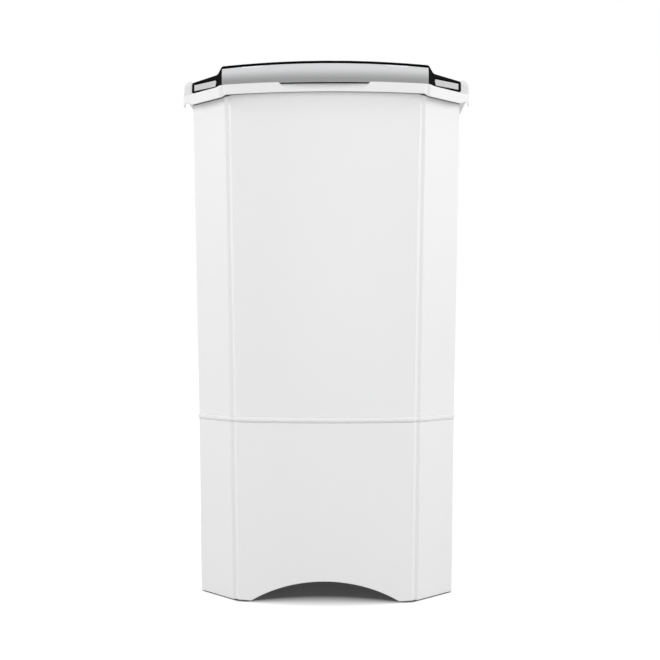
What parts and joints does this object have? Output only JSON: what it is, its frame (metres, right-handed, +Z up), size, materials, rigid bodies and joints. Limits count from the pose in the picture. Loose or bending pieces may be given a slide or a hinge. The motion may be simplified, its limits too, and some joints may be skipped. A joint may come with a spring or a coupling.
{
  "type": "semi-automatic washing machine",
  "caption": "White plastic semi-automatic washing machine: octagonal tub on an arched base, hinged lid with smoked window, belt-driven pulsator and rear timer console.",
  "frame": {"origin": "on the floor under the centre of the bounding box", "axes": "+Z up, the front with the arch and the finger recess faces -Y, +X is the right side seen from the front's own left to right"},
  "size_m": [0.5, 0.502, 0.949],
  "materials": {
    "white_plastic": "satin moulded polypropylene",
    "black_plastic": "polished",
    "silver_plastic": "silver lacquer, satin",
    "grey_plastic": "fine grain",
    "smoked_plastic": "smoked acrylic",
    "blue_grey_plastic": "satin moulded",
    "dark_plastic": "moulded",
    "rubber": "matte",
    "zinc_steel": "zinc plated",
    "steel": "ground",
    "painted_steel": "dipped black-grey",
    "aluminium": "die cast",
    "bronze": "sintered"
  },
  "bodies": {
    "root": {"tub": "white_plastic", "base_skirt": "white_plastic", "foot_1": "rubber", "foot_2": "rubber", "foot_3": "rubber", "foot_4": "rubber", "rear_cover": "white_plastic", "rear_cover_screw_1": "zinc_steel", "rear_cover_screw_2": "zinc_steel", "rear_cover_screw_3": "zinc_steel", "rear_cover_screw_4": "zinc_steel", "cord_grommet": "rubber", "drain_elbow": "dark_plastic", "drain_grille": "blue_grey_plastic", "rear_duct": "white_plastic", "top_frame": "white_plastic", "hinge_pin_left": "zinc_steel", "hinge_pin_right": "zinc_steel", "console_housing": "white_plastic", "console_fascia": "grey_plastic", "timer_body": "dark_plastic", "wiring_harness": "dark_plastic", "bearing_housing": "dark_plastic", "housing_bolt_1": "zinc_steel", "housing_bolt_2": "zinc_steel", "housing_bolt_3": "zinc_steel", "housing_bolt_4": "zinc_steel", "lower_bush": "bronze", "upper_bush": "bronze", "shaft_seal": "rubber", "drive_belt": "rubber", "motor_stator": "steel", "motor_top_bell": "aluminium", "motor_bottom_bell": "aluminium", "motor_bracket": "painted_steel", "motor_bolt_1": "zinc_steel", "motor_bolt_2": "zinc_steel", "bracket_screw_1": "zinc_steel", "bracket_screw_2": "zinc_steel", "bracket_screw_3": "zinc_steel", "bracket_screw_4": "zinc_steel", "capacitor": "aluminium", "capacitor_clamp": "painted_steel"},
    "lid": {"lid_frame": "black_plastic", "lid_window": "smoked_plastic", "lid_front_trim": "silver_plastic", "lid_corner_trim_left": "grey_plastic", "lid_corner_trim_right": "grey_plastic"},
    "timer": {"timer_shaft": "zinc_steel", "timer_knob": "grey_plastic"},
    "agitator": {"pulsator": "blue_grey_plastic", "pulsator_screw": "zinc_steel", "drive_shaft": "steel", "driven_pulley": "aluminium", "pulley_nut": "zinc_steel"},
    "rotor": {"motor_shaft": "steel", "motor_rotor": "steel", "drive_pulley": "aluminium"},
    "lint_filter": {"lint_filter_frame": "blue_grey_plastic", "lint_filter_screen": "white_plastic"}
  },
  "joints": [
    {"name": "lid_hinge", "type": "hinge", "parent": "root", "child": "lid", "pos_m": [0, 0.142, 0.8905], "axis": [-1, 0, 0], "range_deg": [0, 95]},
    {"name": "timer_turn", "type": "hinge", "parent": "root", "child": "timer", "pos_m": [0.12, 0.18744, 0.91261], "axis": [0, 0.9487, -0.3162], "range_deg": [0, 300]},
    {"name": "agitator_spin", "type": "hinge", "parent": "root", "child": "agitator", "pos_m": [0, 0, 0.17], "axis": [0, 0, 1], "continuous": true},
    {"name": "rotor_spin", "type": "hinge", "parent": "root", "child": "rotor", "pos_m": [0, 0.15, 0.17], "axis": [0, 0, 1], "continuous": true},
    {"name": "lint_filter_lift", "type": "slide", "parent": "root", "child": "lint_filter", "axis": [0, 0, 1], "range_m": [0, 0.06]}
  ],
  "couplings": [
    {"joint": "rotor_spin", "follows": "agitator_spin", "ratio": 4.5}
  ]
}
